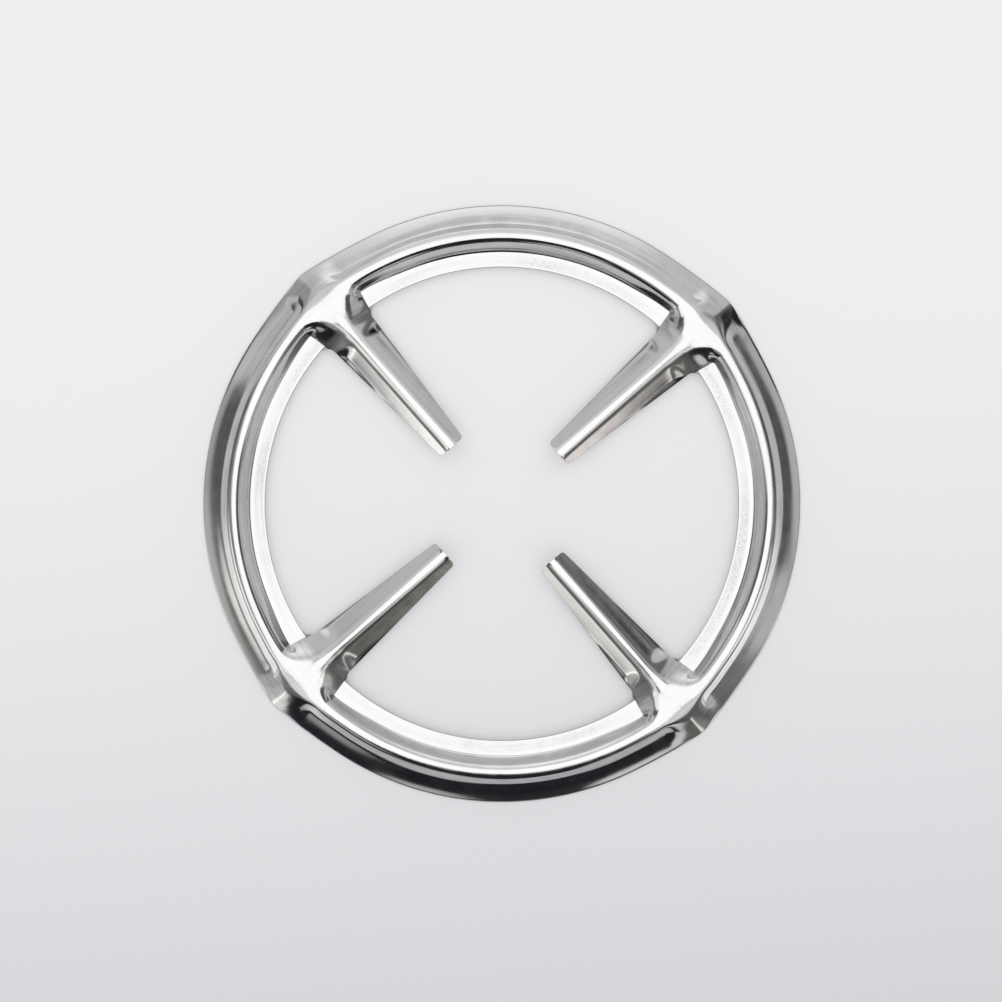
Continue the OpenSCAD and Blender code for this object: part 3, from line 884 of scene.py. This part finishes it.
def room_sky(s, facing, elevation):
    """Walls that pale towards the picture's top, and the bright top wall with its ceiling."""
    sides = s.ramp(facing, *SIDE_WALL_FADE, SIDE_WALL, SIDE_WALL_AT_TOP)
    walls = s.maths("SUBTRACT", sides, s.ramp(facing, *BOTTOM_FADE, 0.0, BOTTOM_SHADE))
    top_wall = s.ramp(elevation, *TOP_WALL_RISE, TOP_WALL_LOW, TOP_WALL_HIGH)
    sky = s.blend(s.ramp(facing, *TOP_WALL_FADE), walls, top_wall)
    ceiling = s.product(s.ramp(facing, *TOP_CEILING_FADE), s.ramp(elevation, *TOP_CEILING_RISE))
    return s.blend(ceiling, sky, TOP_CEILING)


def studio_room():
    """An even pale light, and for the steel's reflections a room with cards round the stand."""
    world = bpy.data.worlds.new("studio")
    bpy.context.scene.world = world
    world.use_nodes = True
    s = Shader(world.node_tree)
    turned = s.node("ShaderNodeVectorRotate", rotation_type="Z_AXIS")
    s.feed(turned.inputs["Vector"], s.node("ShaderNodeTexCoord").outputs["Generated"])
    s.feed(turned.inputs["Angle"], math.radians(-CAMERA_TURN))
    right, top, up = s.split(turned.outputs[0])
    behind = s.maths("ARCTAN2", s.product(right, -1.0), s.product(top, -1.0))
    azimuth = s.maths("DEGREES", s.total(behind, math.pi))
    elevation = s.maths("DEGREES", s.maths("ARCSINE", up))
    place = s.combine(azimuth, elevation)
    sky = room_sky(s, s.maths("COSINE", behind), elevation)
    for settings in CARDS:
        sky = hang_card(s, sky, place, *settings)

    room = s.node("ShaderNodeBackground")
    s.feed(room.inputs["Color"], sky)
    s.feed(room.inputs["Strength"], 1.0)
    even = s.node("ShaderNodeBackground")
    s.feed(even.inputs["Color"], EVEN_LIGHT)
    s.feed(even.inputs["Strength"], 1.0)
    chosen = s.node("ShaderNodeMixShader")
    s.feed(chosen.inputs[0], s.node("ShaderNodeLightPath").outputs["Is Glossy Ray"])
    s.feed(chosen.inputs[1], even.outputs[0])
    s.feed(chosen.inputs[2], room.outputs[0])
    s.feed(s.node("ShaderNodeOutputWorld").inputs["Surface"], chosen.outputs[0])


def panel_glow():
    """Even light that fades out at the panel's four edges."""
    material, s = new_material("lamp_panel")
    right, top, _ = s.split(s.node("ShaderNodeTexCoord").outputs["Object"])
    sides = ((right, PANEL_LEFT, -PANEL_SOFT), (right, PANEL_RIGHT, PANEL_CRISP),
             (top, PANEL_BOTTOM, -PANEL_CRISP), (top, PANEL_TOP, PANEL_SOFT))
    cover = s.product(*[s.ramp_mm(value, edge, (fade, -fade)) for value, edge, fade in sides])
    glow = s.node("ShaderNodeEmission")
    s.feed(glow.inputs["Strength"], PANEL_LIGHT)
    seen = s.node("ShaderNodeMixShader")
    s.feed(seen.inputs[0], cover)
    s.feed(seen.inputs[1], s.node("ShaderNodeBsdfTransparent").outputs[0])
    s.feed(seen.inputs[2], glow.outputs[0])
    s.feed(s.node("ShaderNodeOutputMaterial").inputs["Surface"], seen.outputs[0])
    return material


def lamp_panel():
    """The soft lamp close above the stand, which only the steel's reflections see."""
    bpy.ops.object.select_all(action="DESELECT")
    bpy.ops.mesh.primitive_plane_add(size=PANEL_SIZE * MM, location=(0.0, 0.0, PANEL_HEIGHT * MM),
                                     rotation=(0.0, 0.0, math.radians(CAMERA_TURN)))
    panel = bpy.context.object
    panel.name = "lamp_panel"
    panel.data.materials.append(panel_glow())
    panel.visible_camera = False
    panel.visible_diffuse = False
    panel.visible_shadow = False


def camera_above():
    camera = bpy.data.cameras.new("camera")
    camera.sensor_width = CAMERA_SENSOR
    camera.lens = camera.sensor_width * CAMERA_HEIGHT / (IMAGE_PIXELS * MM_PER_PIXEL)
    seat = bpy.data.objects.new("camera", camera)
    bpy.context.scene.collection.objects.link(seat)
    middle = IMAGE_PIXELS / 2.0
    right = (middle - STAND_CENTRE_PIXEL[0]) * MM_PER_PIXEL * MM
    up = (STAND_CENTRE_PIXEL[1] - middle) * MM_PER_PIXEL * MM
    turn = math.radians(CAMERA_TURN)
    seat.location = (right * math.cos(turn) - up * math.sin(turn),
                     right * math.sin(turn) + up * math.cos(turn), CAMERA_HEIGHT * MM)
    seat.rotation_euler = (0.0, 0.0, turn)
    bpy.context.scene.camera = seat


def main():
    bpy.context.scene.view_settings.view_transform = "Standard"
    paper_floor()
    studio_room()
    lamp_panel()
    camera_above()
    stand = make_stand()
    stand.data.materials.clear()
    stand.data.materials.append(polished_steel())
    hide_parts("pot_stand")
    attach(stand, "root")


main()
